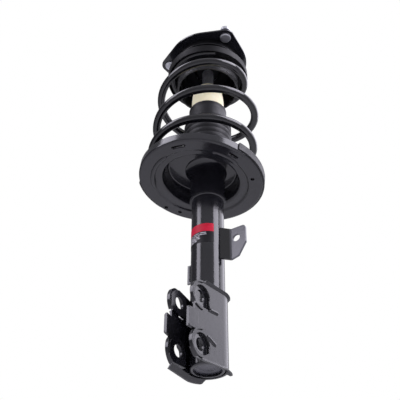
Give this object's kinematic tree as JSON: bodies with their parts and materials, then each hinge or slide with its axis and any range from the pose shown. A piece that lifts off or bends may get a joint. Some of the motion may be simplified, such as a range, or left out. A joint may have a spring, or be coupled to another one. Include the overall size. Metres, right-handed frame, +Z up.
{
  "type": "strut assembly",
  "caption": "Coil-over front suspension strut with coil spring, dust boot, bump stop, top mount with studs, knuckle bracket and link bracket.",
  "frame": {"origin": "centre of the three top studs' circle, on the upper face of the top mount's plate", "axes": "+Z up the piston rod towards the car body; the knuckle ears point to -Y and their bolts lie along X"},
  "size_m": [0.2084, 0.2059, 0.6625],
  "materials": {
    "black_steel": "gloss black electrocoat",
    "black_rubber": "matte",
    "zinc_steel": "zinc plated",
    "rod_chrome": "polished",
    "bare_steel": "machined",
    "sintered_steel": "sintered",
    "bearing_steel": "ground",
    "ptfe_band": "filled polymer",
    "cream_foam": "cellular polyurethane",
    "boot_rubber": "matte",
    "label_film": "printed film"
  },
  "bodies": {
    "top_mount": {"mount_plate": "black_steel", "mount_studs": "zinc_steel", "mount_shell": "black_steel", "mount_core": "black_steel", "mount_rubber": "black_rubber", "rod_washer": "zinc_steel", "rod_nut": "zinc_steel", "piston_rod": "rod_chrome", "rebound_stop": "bare_steel", "piston": "sintered_steel", "piston_band": "ptfe_band", "piston_nut": "zinc_steel", "bearing_upper_race": "bearing_steel"},
    "swivel_seat": {"bearing_lower_race": "bearing_steel", "bearing_balls": "bearing_steel", "upper_spring_seat": "black_steel", "upper_isolator": "black_rubber", "coil_spring": "black_steel"},
    "bumper": {"bump_stop": "cream_foam", "dust_boot": "boot_rubber"},
    "strut": {"strut_tube": "black_steel", "base_cap": "black_steel", "inner_cylinder": "bare_steel", "base_valve": "sintered_steel", "rod_guide": "sintered_steel", "guide_bush": "ptfe_band", "oil_seal": "black_rubber", "striker_cap": "zinc_steel", "lower_spring_seat": "black_steel", "lower_isolator": "black_rubber", "rim_strips": "black_rubber", "knuckle_bracket": "black_steel", "link_bracket": "black_steel", "hose_tab": "black_steel", "label": "label_film"}
  },
  "joints": [
    {"name": "steering_swivel", "type": "hinge", "parent": "top_mount", "child": "swivel_seat", "pos_m": [0, 0, -0.0215], "axis": [0, 0, 1], "continuous": true},
    {"name": "jounce_slide", "type": "slide", "parent": "swivel_seat", "child": "strut", "axis": [0, 0, 1], "range_m": [0, 0.12], "stiffness_N_per_m": 25000, "springref_m": -0.06, "deforming": ["coil_spring", "dust_boot"]},
    {"name": "bumper_slide", "type": "slide", "parent": "swivel_seat", "child": "bumper", "axis": [0, 0, 1], "range_m": [0, 0.048]}
  ],
  "couplings": [
    {"joint": "bumper_slide", "follows": "jounce_slide", "ratio": 0.4}
  ]
}
